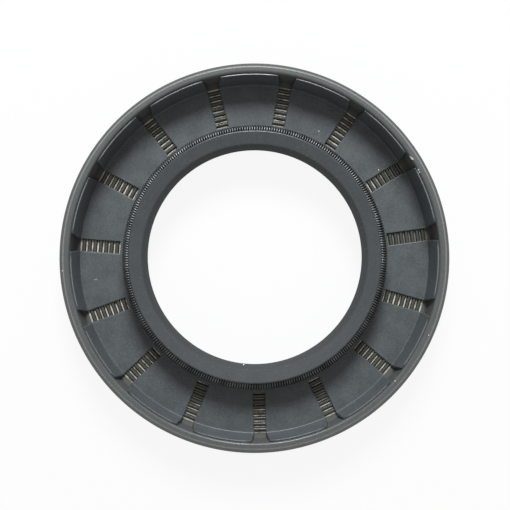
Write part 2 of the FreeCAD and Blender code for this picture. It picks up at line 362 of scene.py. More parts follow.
def liner_top(sizes):
    """The liner's top from just below its crown, which leans outwards, down into the gap to the rim."""
    wall = case_inner(sizes)
    top = SEAL_WIDTH - sizes.liner_drop
    outer = wall - sizes.gap_width
    inner = outer - sizes.crown_width
    return rounded(
        [
            (wall - sizes.liner_foot, flange_top(sizes) + sizes.floor_cover, 0),
            (inner, top, CROWN_INSIDE),
            (outer, top - sizes.crown_width * math.tan(sizes.crown_lean), CROWN_OUTSIDE),
            (outer + GAP_TAPER, gap_bottom(sizes), 0),
            (wall, gap_bottom(sizes), 0),
        ]
    )[1:]


def slot_rows(sizes):
    """Pairs of points, on the skin and on the case, from a slot's inner end out and up to the rim."""
    floor = flange_top(sizes) + sizes.floor_cover
    wall = case_inner(sizes)
    crown = liner_top(sizes)
    foot = (wall - sizes.liner_foot, floor)
    skin = rounded([(sizes.slot_inner, floor, 0), (*foot, sizes.foot_rounding), (*crown[0], 0)])
    case_wall_end = (wall, CASE_TOP - CASE_END)
    case_foot = (wall, flange_top(sizes), sizes.case_bend)
    case = rounded([(sizes.slot_inner, flange_top(sizes), 0), case_foot, (*case_wall_end, 0)])
    pairs = [(between(skin[0], skin[1], s), between(case[0], case[1], s)) for s in FLOOR_SHARES]
    arc_rows = min(len(skin), len(case)) - 1
    pairs += list(zip(skin[1:arc_rows], case[1:arc_rows]))
    pairs += [(between(skin[-2], skin[-1], s), between(case[-2], case[-1], s)) for s in LINER_SHARES]
    for step, point in enumerate(crown):
        pairs.append((point, between(case_wall_end, (wall, CASE_TOP), step / len(crown))))
    return pairs


def skin_section(sizes):
    """The skin's outline from the ledge over rim, outside, back, bore and lip to a slot's inner end."""
    floor = flange_top(sizes) + sizes.floor_cover
    head = SEAL_WIDTH - sizes.face_recess
    wall = case_inner(sizes)
    groove = COIL_RADIUS + sizes.spring_clearance
    bead_rise = math.sqrt(groove**2 - (SPRING_RADIUS - sizes.bead_radius) ** 2)
    neck_fall = math.sqrt(groove**2 - (SPRING_RADIUS - sizes.neck_radius) ** 2)
    outside = rounded(
        [
            (wall, gap_bottom(sizes) + LEDGE_RISE, 0),
            (wall, SEAL_WIDTH, sizes.rim_rounding),
            (OUTER_RADIUS - sizes.rim_bevel_width, SEAL_WIDTH, SMALL_EDGE),
            (OUTER_RADIUS, SEAL_WIDTH - sizes.rim_bevel_height, PLAIN_EDGE),
            (OUTER_RADIUS, sizes.lead_in_height, PLAIN_EDGE),
            (OUTER_RADIUS - sizes.lead_in_width, 0, SMALL_EDGE),
            (sizes.back_hole, 0, SMALL_EDGE),
            (sizes.neck_radius - sizes.neck_thickness, flange_top(sizes) + sizes.neck_root, NECK_EDGE),
            (LIP_RADIUS + sizes.cone_width, LIP_TOP - sizes.edge_land - sizes.cone_height, PLAIN_EDGE),
            (LIP_RADIUS, LIP_TOP - sizes.edge_land, SEALING_EDGE),
            (LIP_RADIUS, LIP_TOP, SEALING_EDGE),
            (LIP_RADIUS + sizes.bevel_width, head - sizes.face_fall, PLAIN_EDGE),
            (sizes.bead_radius, head, sizes.bead_rounding),
            (sizes.bead_radius, SPRING_PLANE + bead_rise, 0),
        ]
    )
    first = math.atan2(bead_rise, sizes.bead_radius - SPRING_RADIUS)
    last = math.atan2(-neck_fall, sizes.neck_radius - SPRING_RADIUS) + math.tau
    groove_arc = arc((SPRING_RADIUS, SPRING_PLANE), groove, first, last, GROOVE_STEPS)
    neck = rounded(
        [
            (sizes.neck_radius, SPRING_PLANE - neck_fall - NECK_START, 0),
            (sizes.neck_radius, floor, sizes.neck_fillet),
            (sizes.slot_inner - sizes.slot_rounding - EDGE_SUPPORT, floor, 0),
        ]
    )
    return outside + groove_arc[1:] + neck


def make_sector(sizes, shape):
    """One slot with half a panel on each side. Rows run along the section, columns round the axis."""
    half_sector = math.pi / sizes.slot_count
    low, high = flange_top(sizes), SEAL_WIDTH - sizes.liner_drop

    def put(point, turn):
        radius, height = point
        return shape.verts.new((radius * math.cos(turn), radius * math.sin(turn), height))

    def edge_turn(point, offset):
        """The angle of a slot's edge at a point of the section, plus an offset away from the slot."""
        radius = min(max(point[0], sizes.slot_inner), case_inner(sizes))
        height = min(max(point[1], low), high)
        return math.asin((slot_half_width(sizes, height) + offset) / radius)

    def side(point, offset):
        """Angles from a slot's edge to the middle of the panel."""
        edge = edge_turn(point, offset)
        return [edge + (half_sector - edge) * i / PANEL_COLUMNS for i in range(PANEL_COLUMNS + 1)]

    def full_row(point, offset):
        turns = side(point, offset)
        half = [turns[0] / 2, *turns]
        return [put(point, t) for t in [-t for t in reversed(half)] + [0] + half]

    def panel_row(point, offset):
        """A row without its three vertices over the slot."""
        turns = side(point, offset)
        return [put(point, -t) for t in reversed(turns)] + [None] * 3 + [put(point, t) for t in turns]

    inner = PANEL_COLUMNS     # column of the slot's edge, counted from either side
    last_column = 2 * PANEL_COLUMNS + 4
    outer_gaps = [c for c in range(last_column) if c < inner or c >= last_column - inner]
    rounding = sizes.slot_rounding
    support = rounding + EDGE_SUPPORT

    rows = slot_rows(sizes)
    skin = [full_row(point, support) for point in skin_section(sizes)]
    skin_panel = [panel_row(p, support) for p, _ in rows]
    case_inside = [c for _, c in rows]
    case_outline = case_section(sizes)[1]
    cavity = [full_row(p, 0) for p in [case_inside[-1], *case_outline]]
    cavity_panel = [panel_row(p, 0) for p in case_inside[:-1]] + [cavity[0]]
    bridge(shape, skin)
    bridge(shape, [skin[-1], *skin_panel, skin[0]], outer_gaps)
    bridge(shape, cavity)
    bridge(shape, [cavity[-1], *cavity_panel], outer_gaps)

    def wall_loop(offset, depth):
        """A line round the slot's wall: out along one side, across the inner end, back on the other."""
        floor = (sizes.slot_inner, low + sizes.floor_cover)
        across = (floor[0] - offset, floor[1] - depth)
        edge = edge_turn(across, offset)
        end = [put(across, t) for t in (-edge, -edge / 2, 0, edge / 2, edge)]
        sides = []
        for sign in (-1, 1):
            line = []
            for on_skin, on_case in rows:
                top = Vector((*on_skin, edge_turn(on_skin, offset)))
                if depth:
                    foot = Vector((*on_case, edge_turn(on_case, 0)))
                    reach = (foot.xy - top.xy).length
                    top = top.lerp(foot, depth / reach)
                line.append(put(top.xy, sign * top.z))
            sides.append(line)
        return sides[0][::-1] + end + sides[1]

    def rim_of(panel, inner_end):
        """The same line along the edge columns of rows that exist already."""
        left = [row[inner] for row in panel]
        right = [row[last_column - inner] for row in panel]
        return left[::-1] + inner_end[inner:last_column - inner + 1] + right

    bend = 1 - math.sqrt(0.5)     # how far the middle of a rounding lies from its corner
    loops = [
        rim_of(skin_panel, skin[-1]),
        wall_loop(rounding, 0),
        wall_loop(rounding * bend, rounding * bend),
        wall_loop(0, rounding),
        wall_loop(0, support),
        rim_of(cavity_panel, cavity[-1]),
    ]
    bridge(shape, loops)

    # The slot's outer end stands under the rim, between the loops' ends.
    def end_row(loop):
        left, right = loops[loop][0], loops[loop][-1]
        height = left.co.z
        edge = math.atan2(right.co.y, right.co.x)
        wall = case_inner(sizes)
        return [left] + [put((wall, height), edge * i / 2) for i in (-1, 0, 1)] + [right]

    under_rim = end_row(3)
    over_case = end_row(4)
    slot_foot = cavity[0][inner:last_column - inner + 1]
    bridge(shape, [under_rim, over_case, slot_foot])
    ledge = skin[0][inner:last_column - inner + 1]
    bridge(shape, [ledge, under_rim], [1, 2])
    for end, step in ((0, 1), (-1, -1)):
        corner = [loops[loop][end] for loop in (0, 1, 2, 3)]
        shape.faces.new([*corner, under_rim[end + step], ledge[end + step], ledge[end]])


# Node trees

def add_node(tree, kind, inputs=(), **settings):
    """A node with its settings made and its inputs linked or set, by name or number."""
    node = tree.nodes.new(kind)
    for name, value in settings.items():
        setattr(node, name, value)
    for name, value in dict(inputs).items():
        socket = node.inputs[name]
        if isinstance(value, bpy.types.NodeSocket):
            tree.links.new(value, socket)
        else:
            socket.default_value = value
    return node


def calculate(tree, operation, first, second=0.0, third=None):
    """A Math node's result."""
    inputs = {0: first, 1: second}
    if third is not None:
        inputs[2] = third
    return add_node(tree, "ShaderNodeMath", inputs, operation=operation).outputs[0]


def product(tree, first, *others):
    """Numbers or masks, multiplied."""
    for other in others:
        first = calculate(tree, "MULTIPLY", first, other)
    return first


def new_tree(name, numbers):
    """A geometry tree that is given a geometry, a material and the named numbers."""
    tree = bpy.data.node_groups.new(name, "GeometryNodeTree")
    for socket_name, kind in (("Geometry", "Geometry"), *numbers.items(), ("Material", "Material")):
        tree.interface.new_socket(socket_name, in_out="INPUT", socket_type=f"NodeSocket{kind}")
    tree.interface.new_socket("Geometry", in_out="OUTPUT", socket_type="NodeSocketGeometry")
    return tree, add_node(tree, "NodeGroupInput").outputs


def turn_copies(tree, geometry, number, first_angle):
    """Copies of a geometry, evenly round the axis, made real."""
    points = add_node(tree, "GeometryNodePoints", {"Count": number})
    index = add_node(tree, "GeometryNodeInputIndex").outputs[0]
    step = calculate(tree, "DIVIDE", math.tau, number)
    turn = calculate(tree, "MULTIPLY_ADD", index, step, first_angle)
    euler = add_node(tree, "ShaderNodeCombineXYZ", {"Z": turn})
    rotation = add_node(tree, "FunctionNodeEulerToRotation", {0: euler.outputs[0]}).outputs[0]
    placing = {"Points": points.outputs[0], "Instance": geometry, "Rotation": rotation}
    copies = add_node(tree, "GeometryNodeInstanceOnPoints", placing).outputs[0]
    return add_node(tree, "GeometryNodeRealizeInstances", {0: copies}).outputs[0]


def end_tree(tree, geometry, material):
    """Every tree ends with its material and its output."""
    painted = add_node(tree, "GeometryNodeSetMaterial", {"Geometry": geometry, "Material": material})
    add_node(tree, "NodeGroupOutput", {"Geometry": painted.outputs[0]})


def sector_tree():
    """Repeats a sector round the axis and closes its seams."""
    tree, given = new_tree("repeat_sector", {"Count": "Int", "First Angle": "Float", "Seam": "Float"})
    ring = turn_copies(tree, given["Geometry"], given["Count"], given["First Angle"])
    merged = add_node(tree, "GeometryNodeMergeByDistance", {"Geometry": ring, "Distance": given["Seam"]})
    end_tree(tree, merged.outputs[0], given["Material"])
    return tree


def ridges_tree():
    """Lays ridges in a row along a slot, and the row in every slot."""
    numbers = {"Ridges": "Int", "Slots": "Int"}
    numbers.update({name: "Float" for name in ("First Radius", "Pitch", "First Angle")})
    tree, given = new_tree("ridges_in_slots", numbers)
    start = add_node(tree, "ShaderNodeCombineXYZ", {"X": given["First Radius"]}).outputs[0]
    step = add_node(tree, "ShaderNodeCombineXYZ", {"X": given["Pitch"]}).outputs[0]
    line = {"Count": given["Ridges"], "Start Location": start, "Offset": step}
    places = add_node(tree, "GeometryNodeMeshLine", line).outputs[0]
    row = add_node(tree, "GeometryNodeInstanceOnPoints", {"Points": places, "Instance": given["Geometry"]})
    real = add_node(tree, "GeometryNodeRealizeInstances", {0: row.outputs[0]})
    ring = turn_copies(tree, real.outputs[0], given["Slots"], given["First Angle"])
    end_tree(tree, ring, given["Material"])
    return tree


def coil_tree():
    """A closed coil of wire whose turns run round a ring."""
    numbers = {name: "Int" for name in ("Turns", "Points per Turn", "Wire Sides")}
    numbers.update({name: "Float" for name in ("Ring Radius", "Coil Radius", "Height", "Wire Radius")})
    tree, given = new_tree("coil_round_ring", numbers)
    circle = "GeometryNodeCurvePrimitiveCircle"
    coil, ring_radius = given["Coil Radius"], given["Ring Radius"]
    points = product(tree, given["Turns"], given["Points per Turn"])
    ring = add_node(tree, circle, {"Resolution": points, "Radius": ring_radius}).outputs[0]
    index = add_node(tree, "GeometryNodeInputIndex").outputs[0]
    round_ring = product(tree, calculate(tree, "DIVIDE", index, points), math.tau)
    round_coil = product(tree, round_ring, given["Turns"])
    reach = calculate(tree, "MULTIPLY_ADD", calculate(tree, "COSINE", round_coil), coil, ring_radius)
    place = {
        "X": product(tree, reach, calculate(tree, "COSINE", round_ring)),
        "Y": product(tree, reach, calculate(tree, "SINE", round_ring)),
        "Z": calculate(tree, "MULTIPLY_ADD", calculate(tree, "SINE", round_coil), coil, given["Height"]),
    }
    position = add_node(tree, "ShaderNodeCombineXYZ", place).outputs[0]
    helix = add_node(tree, "GeometryNodeSetPosition", {"Geometry": ring, "Position": position}).outputs[0]
    section = add_node(tree, circle, {"Resolution": given["Wire Sides"], "Radius": given["Wire Radius"]})
    wire = add_node(tree, "GeometryNodeCurveToMesh", {"Curve": helix, "Profile Curve": section.outputs[0]})
    real = add_node(tree, "GeometryNodeRealizeInstances", {0: wire.outputs[0]})
    end_tree(tree, real.outputs[0], given["Material"])
    return tree


def run_tree(name, mesh, tree, values):
    """A piece whose plain mesh is what the tree makes of a starting mesh."""
    piece = new_object(name, mesh)
    modifier = piece.modifiers.new(tree.name, "NODES")
    modifier.node_group = tree
    for socket in tree.interface.items_tree:
        if socket.in_out == "INPUT" and socket.name in values:
            modifier[socket.identifier] = values[socket.name]
    depsgraph = bpy.context.evaluated_depsgraph_get()
    made = bpy.data.meshes.new_from_object(piece.evaluated_get(depsgraph), depsgraph=depsgraph)
    piece.modifiers.remove(modifier)
    piece.data = made
    made.name = name
    return piece


# Materials

# How far one finish fades into the next or stands off an edge, in millimetres.
HAIR = 0.05
FINE = 0.1
SOFT = 0.2
BROAD = 0.5
SLOT_SHADE = (1.4, 0.5)         # the crown's painted highlight fades, and the painted shade at its ends sets in, between these distances from a slot
CROWN_HIGHLIGHT = 0.07               # half the width of that painted highlight
CROWN_END_SHADE = 0.12                # half the width of the painted shade at its ends
CROWN_COVER = 0.85              # strength of that painted highlight against the rim's corner's line
CORNER_SHIFT = 0.02             # the corner's pale rubbed line, which also stands in for its highlight, lies this far out
RIM_POLISH = 0.35               # half the width of the polished edges
BEAD_POLISH = 0.2
CORNER_POLISH = 0.12

# Shares and ranges.
LEVEL_FACE = (0.7, 0.9)         # how far upwards a face points before it counts as level
UPWARD_FACE = (0.1, 0.2)
NOISE_SPREAD = (0.3, 0.7)       # most of a noise lies in here
MOTTLE_SPREAD = (0.75, 1.2)
COAT_WEAR = (0.4, 0.7)
OIL_SPREAD = (0.35, 0.65)
OVAL_EDGE = (0.25, 0.15)        # squares of the distance where an oval ends and where it is full
FINEST_SIZE = 0.4               # the finest grain's size and height against the plain grain's
FINEST_HEIGHT = 0.5
SPECKLE = 0.11
ROUGHNESS_SWING = 0.04
METAL_SWING = 0.06
# strength of the painted shade on the case's coat
SHADE_COVER = 0.85


def new_material(name):
    material = bpy.data.materials.new(name)
    material.use_nodes = True
    tree = material.node_tree
    shader = tree.nodes["Principled BSDF"]
    return material, tree, shader


def shader_group(name, inputs, outputs):
    """A shader node group with number sockets, and its input node's outputs."""
    group = bpy.data.node_groups.new(name, "ShaderNodeTree")
    for socket_name, default in inputs:
        socket = group.interface.new_socket(socket_name, in_out="INPUT", socket_type="NodeSocketFloat")
        socket.default_value = default
    for socket_name in outputs:
        group.interface.new_socket(socket_name, in_out="OUTPUT", socket_type="NodeSocketFloat")
    return group, add_node(group, "NodeGroupInput").outputs


def place_in_mm(tree):
    """Object coordinates in millimetres."""
    place = add_node(tree, "ShaderNodeTexCoord").outputs["Object"]
    return add_node(tree, "ShaderNodeVectorMath", {0: place, "Scale": 1 / MM}, operation="SCALE").outputs[0]


def noise(tree, place, size, detail, roughness=0.5):
    """A noise whose features are about size millimetres across."""
    scale = calculate(tree, "DIVIDE", 1.0, size)
    settings = {"Vector": place, "Scale": scale, "Detail": detail, "Roughness": roughness}
    return add_node(tree, "ShaderNodeTexNoise", settings).outputs["Fac"]


def remap(tree, value, low, high, to_low=0.0, to_high=1.0):
    """A value from one range, clamped, into another."""
    ends = {"Value": value, "From Min": low, "From Max": high, "To Min": to_low, "To Max": to_high}
    return add_node(tree, "ShaderNodeMapRange", ends, clamp=True).outputs["Result"]


def swing(tree, value, middle, reach):
    """A noise as a number that swings as far as reach to both sides of a middle one."""
    return remap(tree, value, *NOISE_SPREAD, middle - reach, middle + reach)


def near(tree, value, middle, half_width):
    """A mask that is 1 within half_width of the middle and fades out over as much again."""
    distance = calculate(tree, "ABSOLUTE", calculate(tree, "SUBTRACT", value, middle))
    return remap(tree, distance, 2 * half_width, half_width)


def mix_colour(tree, cover, first, second, blend="MIX"):
    node = add_node(tree, "ShaderNodeMix", data_type="RGBA", blend_type=blend)
    for socket, value in zip((0, 6, 7), (cover, first, second)):
        if isinstance(value, bpy.types.NodeSocket):
            tree.links.new(value, node.inputs[socket])
        else:
            node.inputs[socket].default_value = value if socket == 0 else (*value, 1.0)
    return node.outputs[2]


def grain_group():
    """Fine grain, broad patches and their height, as cured rubber and coated steel show them."""
    sizes = [("Grain Size", 0.35), ("Patch Size", 6.0)]
    group, given = shader_group("moulded_grain", sizes, ["Grain", "Patches", "Height"])
    place = place_in_mm(group)
    grain = noise(group, place, given["Grain Size"], 3.0, 0.6)
    patches = noise(group, place, given["Patch Size"], 3.0, 0.55)
    fine = noise(group, place, product(group, given["Grain Size"], FINEST_SIZE), 1.0)
    height = calculate(group, "MULTIPLY_ADD", fine, FINEST_HEIGHT, grain)
    add_node(group, "NodeGroupOutput", {"Grain": grain, "Patches": patches, "Height": height})
    return group


def dust_group():
    """Small flecks, scattered: a share of a fixed pattern's cells, with one fleck in each."""
    sizes = [("Cell Size", 2.0), ("Fleck Size", 0.12), ("Share", 0.1)]
    group, given = shader_group("dust_flecks", sizes, ["Mask"])
    scale = calculate(group, "DIVIDE", 1.0, given["Cell Size"])
    cells = add_node(group, "ShaderNodeTexVoronoi", {"Vector": place_in_mm(group), "Scale": scale}).outputs
    reach = product(group, cells["Distance"], given["Cell Size"])
    inside = calculate(group, "LESS_THAN", reach, given["Fleck Size"])
    lot = add_node(group, "ShaderNodeSeparateColor", {0: cells["Color"]}).outputs[0]
    chosen = calculate(group, "LESS_THAN", lot, given["Share"])
    add_node(group, "NodeGroupOutput", {"Mask": product(group, inside, chosen)})
    return group


def ring_group():
    """A point's distance from the axis and height above the back face, in millimetres, and its angle."""
    group, _ = shader_group("ring_place", [], ["Radius", "Height", "Angle"])
    parts = add_node(group, "ShaderNodeSeparateXYZ", {0: place_in_mm(group)}).outputs
    x, y = parts["X"], parts["Y"]
    radius = calculate(group, "SQRT", calculate(group, "MULTIPLY_ADD", x, x, product(group, y, y)))
    turn = calculate(group, "ARCTAN2", y, x)
    add_node(group, "NodeGroupOutput", {"Radius": radius, "Height": parts["Z"], "Angle": turn})
    return group


def oval_group():
    """A small oval with a soft edge, seen along the axis: its place, its turn and its size."""
    inputs = [("X", 0.0), ("Y", 0.0), ("Turn", 0.0), ("Length", 0.4), ("Width", 0.4)]
    group, given = shader_group("soft_oval", inputs, ["Mask"])
    parts = add_node(group, "ShaderNodeSeparateXYZ", {0: place_in_mm(group)}).outputs
    x, y = [calculate(group, "SUBTRACT", parts[axis], given[axis]) for axis in "XY"]
    cosine = calculate(group, "COSINE", given["Turn"])
    sine = calculate(group, "SINE", given["Turn"])
    along = calculate(group, "MULTIPLY_ADD", x, cosine, product(group, y, sine))
    across = calculate(group, "SUBTRACT", product(group, y, cosine), product(group, x, sine))
    squares = [
        calculate(group, "POWER", calculate(group, "DIVIDE", distance, given[side]), 2.0)
        for distance, side in ((along, "Length"), (across, "Width"))
    ]
    mask = remap(group, calculate(group, "ADD", *squares), *OVAL_EDGE)
    add_node(group, "NodeGroupOutput", {"Mask": mask})
    return group


SHADER_GROUPS = {
    "moulded_grain": grain_group,
    "dust_flecks": dust_group,
    "ring_place": ring_group,
    "soft_oval": oval_group,
}


def shared_group(tree, name, inputs=()):
    """A shared group, built when a material first needs it, placed in a tree with inputs of its own."""
    group = bpy.data.node_groups.get(name) or SHADER_GROUPS[name]()
    node = tree.nodes.new("ShaderNodeGroup")
    node.node_tree = group
    for socket, value in dict(inputs).items():
        node.inputs[socket].default_value = value
    return node.outputs


def bump(tree, shader, height, distance_mm, strength):
    settings = {"Height": height, "Distance": distance_mm * MM, "Strength": strength}
    tree.links.new(add_node(tree, "ShaderNodeBump", settings).outputs[0], shader.inputs["Normal"])


# Painted glints of a nick and larger pale flecks seen on the rubber, in millimetres: x, y, turn in degrees,
# length, width.
PALE_MARKS_AND_GLINTS = (
    (32.22, 20.09, -40, 1.5, 0.34),   # painted glint of a nick in the rim's inner edge
    # painted glints beside that nick
    (33.72, 17.56, 0, 0.35, 0.35),
    (33.92, 17.06, 0, 0.3, 0.3),
    (35.29, -16.35, 0, 0.2, 0.2),
    (28.32, -25.60, 0, 0.2, 0.2),
    (31.87, -18.82, 0, 0.2, 0.2),
    (-39.32, -2.73, 80, 0.35, 0.2),
    (26.53, 18.52, 0, 0.25, 0.25),
    (13.89, 26.90, 0, 0.25, 0.25),
    (11.82, -26.08, 0, 0.2, 0.2),
    (-33.55, -4.44, 0, 0.85, 0.07),
    (-2.45, -22.18, 0, 0.25, 0.25),   # fleck on the lip
)

# Painted shade on the case's coat, in the same terms.
SHADE_PATCHES = (
    (32.0, 7.0, 0, 15.0, 34.0),       # painted shade over the slots on the right
    (0.0, -28.6, 0, 40.0, 6.6),       # painted shadow of the lip head over the inner ends of the lowest slots
)


def ovals(tree, places):
    """A mask of all the ovals of a list."""
    mask = 0.0
    for x, y, turn, long, wide in places:
        oval = {"X": x, "Y": y, "Turn": math.radians(turn), "Length": long, "Width": wide}
        mask = calculate(tree, "MAXIMUM", shared_group(tree, "soft_oval", oval)["Mask"], mask)
    return mask


def rubber_material(sizes, finish):
    """Cured rubber: mottled, with a pale rubbed line and painted highlight on the rim's corner, a painted
    highlight on the liner's crown with painted shade at its ends, painted shade on the outside, darker on
    the lip, brown residue and painted shade low down in the slots, and pale flecks with painted glints of a
    nick.
    """
    material, tree, shader = new_material("moulded_rubber")
    grain = shared_group(tree, "moulded_grain", {"Grain Size": 0.35, "Patch Size": 3.5})
    dust = shared_group(tree, "dust_flecks", {"Cell Size": 2.4, "Fleck Size": 0.1, "Share": 0.06})
    flecks = shared_group(tree, "dust_flecks", {"Cell Size": 0.75, "Fleck Size": 0.09, "Share": 0.8})
    place = shared_group(tree, "ring_place")
    radius, height = place["Radius"], place["Height"]
    normal = add_node(tree, "ShaderNodeNewGeometry").outputs["Normal"]
    upwards = add_node(tree, "ShaderNodeSeparateXYZ", {0: normal}).outputs["Z"]

    # Places on the section, in millimetres.
    wall = case_inner(sizes) / MM
    crown = wall - (sizes.gap_width + sizes.crown_width / 2) / MM
    corner = (OUTER_RADIUS - sizes.rim_bevel_width) / MM
    lip_end = (LIP_RADIUS + sizes.bevel_width) / MM
    bead = sizes.bead_radius / MM
    flange = flange_top(sizes) / MM
    ridge_top = flange + sizes.ridge_height / MM
    head_foot = (SPRING_PLANE + COIL_RADIUS / 2) / MM
    face_foot = (SEAL_WIDTH - sizes.face_recess - sizes.face_fall) / MM
    slot_end = slot_half_width(sizes, SEAL_WIDTH - sizes.liner_drop) / MM

    # How far a point lies from the middle of the nearest slot, along the ring.
    half_sector = math.pi / sizes.slot_count
    turned = calculate(tree, "SUBTRACT", place["Angle"], sizes.first_slot)
    offset = calculate(tree, "ABSOLUTE", calculate(tree, "WRAP", turned, half_sector, -half_sector))
    beside_slot = remap(tree, product(tree, offset, radius), *(slot_end + reach for reach in SLOT_SHADE))
    clear = calculate(tree, "SUBTRACT", 1.0, beside_slot)

    level_face = remap(tree, upwards, *LEVEL_FACE)
    above_flange = remap(tree, height, flange - 2 * SOFT, flange - SOFT)
    on_rim = remap(tree, radius, wall, wall + SOFT)
    # Painted shade from the rim's bevel outwards
    outside_shade = remap(tree, radius, corner + FINE + HAIR, corner + FINE + HAIR + SOFT)
    # Painted highlight along the liner's crown, fading beside the slots
    crown_highlight = product(tree, near(tree, radius, crown, CROWN_HIGHLIGHT), clear, CROWN_COVER)
    # The corner's pale rubbed line, also a painted highlight, joined with the crown's painted highlight
    rubbed = calculate(tree, "MAXIMUM", near(tree, radius, corner + CORNER_SHIFT, FINE), crown_highlight)
    corner_and_crown_highlight = product(tree, rubbed, remap(tree, height, face_foot, face_foot + SOFT))
    # Painted shade at the crown's ends beside the slots
    crown_end_shade = product(tree, near(tree, radius, crown, CROWN_END_SHADE), beside_slot, level_face)
    above_groove = remap(tree, height, head_foot, head_foot + SOFT)
    on_head = product(tree, remap(tree, radius, bead + FINE, bead), above_groove)
    on_lip = remap(tree, radius, lip_end + BROAD, lip_end - FINE)
    # Brown residue and painted shade low down in the slots, between the ridges
    below_ridges = remap(tree, height, ridge_top - HAIR, ridge_top - HAIR - SOFT)
    slot_stain_and_shade = product(tree, below_ridges, above_flange)
    up_to_ridges = remap(tree, height, ridge_top + HAIR + FINE, ridge_top + HAIR)
    on_ridge = product(tree, level_face, above_flange, up_to_ridges)
    # Pale flecks and the painted glints of a nick
    mark_and_glint_mask = product(tree, ovals(tree, PALE_MARKS_AND_GLINTS), remap(tree, upwards, *UPWARD_FACE))

    # Each layer: its mask, how much of the tone below it covers, and its colour.
    layers = (
        # painted shade at the crown's ends, in the stain colour
        (crown_end_shade, 0.5, finish.stain_and_shade),
        (on_rim, 1.0, finish.rubber_rim),
        # painted shade on the outside
        (outside_shade, 1.0, finish.rubber_outside_shade),
        # pale rubbed line and painted highlight on the corner, painted highlight on the crown
        (corner_and_crown_highlight, 0.8, finish.rubbed_line_and_highlight),
        (on_head, 0.85, finish.rubber_head),
        (on_lip, 0.9, finish.rubber_lip),
        # brown residue and painted shade low down in the slots
        (slot_stain_and_shade, 1.0, finish.stain_and_shade),
        (on_ridge, 1.0, finish.ridge),
    )
    pale_layers = (
        (dust["Mask"], 0.5, finish.dust),
        (product(tree, flecks["Mask"], on_head), 0.35, finish.dust),
        # pale flecks and painted glints of a nick
        (mark_and_glint_mask, 1.0, finish.mark),
    )
    mottle = calculate(tree, "ADD", grain["Grain"], grain["Patches"])
    tone = mix_colour(tree, remap(tree, mottle, *MOTTLE_SPREAD), finish.rubber_dark, finish.rubber)
    for mask, cover, paint in layers:
        tone = mix_colour(tree, product(tree, mask, cover), tone, paint)
    tone = mix_colour(tree, 1.0, tone, swing(tree, grain["Grain"], 1.0, SPECKLE), "MULTIPLY")
    for mask, cover, paint in pale_layers:
        tone = mix_colour(tree, product(tree, mask, cover), tone, paint)
    tree.links.new(tone, shader.inputs["Base Color"])

    edges = product(tree, near(tree, radius, wall, RIM_POLISH), clear)
    for edge, half_width in ((bead, BEAD_POLISH), (corner, CORNER_POLISH)):
        edges = calculate(tree, "MAXIMUM", near(tree, radius, edge, half_width), edges)
    edges = product(tree, edges, remap(tree, height, face_foot - SOFT, face_foot))
    rough = swing(tree, grain["Patches"], finish.rubber_roughness, ROUGHNESS_SWING)
    zones = (
        (on_lip, finish.lip_roughness),
        (edges, finish.edge_roughness),
        (on_ridge, finish.ridge_roughness),
    )
    for mask, value in zones:
        rough = calculate(tree, "MULTIPLY_ADD", mask, calculate(tree, "SUBTRACT", value, rough), rough)
    tree.links.new(rough, shader.inputs["Roughness"])
    bump(tree, shader, grain["Height"], 0.02, 0.4)
    return material


def case_material(sizes, finish):
    """Steel under a thin pale bonding coat on the flange and a dark one on the wall, with patches of
    painted shade over the coat.
    """
    material, tree, shader = new_material("coated_steel")
    grain = shared_group(tree, "moulded_grain", {"Grain Size": 0.25, "Patch Size": 1.4})
    radius = shared_group(tree, "ring_place")["Radius"]
    bend = (case_inner(sizes) - sizes.case_bend) / MM
    on_wall = remap(tree, radius, bend - HAIR, bend + HAIR)
    worn = mix_colour(tree, remap(tree, grain["Patches"], *COAT_WEAR), finish.case_coat, finish.case_worn)
    # painted shade laid over the coat in some slots
    dull = product(tree, ovals(tree, SHADE_PATCHES), SHADE_COVER)
    tone = mix_colour(tree, dull, worn, finish.case_painted_shade)
    tone = mix_colour(tree, on_wall, tone, finish.case_wall)
    tree.links.new(tone, shader.inputs["Base Color"])
    tree.links.new(remap(tree, on_wall, 0.0, 1.0, finish.case_metallic, 0.0), shader.inputs["Metallic"])
    coat_roughness = remap(tree, on_wall, 0.0, 1.0, finish.case_roughness, finish.wall_roughness)
    rough = calculate(tree, "ADD", swing(tree, grain["Grain"], 0.0, METAL_SWING), coat_roughness)
    tree.links.new(rough, shader.inputs["Roughness"])
    bump(tree, shader, grain["Height"], 0.01, 0.4)
    return material


def wire_material(finish):
    """Drawn spring wire with a fine grain and darker, oily patches."""
    material, tree, shader = new_material("drawn_wire")
    grain = shared_group(tree, "moulded_grain", {"Grain Size": 0.15, "Patch Size": 3.0})
    tone = mix_colour(tree, remap(tree, grain["Patches"], *OIL_SPREAD), finish.wire_dark, finish.wire)
    tree.links.new(tone, shader.inputs["Base Color"])
    rough = swing(tree, grain["Grain"], finish.wire_roughness, METAL_SWING)
    tree.links.new(rough, shader.inputs["Roughness"])
    shader.inputs["Metallic"].default_value = 1.0
    bump(tree, shader, grain["Height"], 0.005, 0.3)
    return material


# Operators

FLOOR_GREY = 0.85
FLOOR_ROUGHNESS = 0.9


class PieceOperator:
    """What the operators share."""

    bl_options = {"REGISTER", "UNDO"}

    def dress(self, piece, node, slot):
        """The finished piece stands for a node and rides on the seal; slot is not used."""
        finish_mesh(piece.data)
        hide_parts(node)
        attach(piece, "root")


class SEAL_OT_rubber(PieceOperator, bpy.types.Operator):
    """Mould the rubber body: one sector with its slot, repeated round the axis"""

    bl_idname = "seal.rubber"
    bl_label = "Rubber Body"

    def execute(self, context):
        sizes = context.scene.seal_sizes
        sector = mesh_from("sector", lambda shape: make_sector(sizes, shape))
        values = {
            "Count": sizes.slot_count,
            "First Angle": sizes.first_slot,
            "Seam": SEAM,
            "Material": rubber_material(sizes, context.scene.seal_finish),
        }
        piece = run_tree("rubber_moulding", sector, sector_tree(), values)
        self.dress(piece, "rubber_body", "rubber")
        return {"FINISHED"}


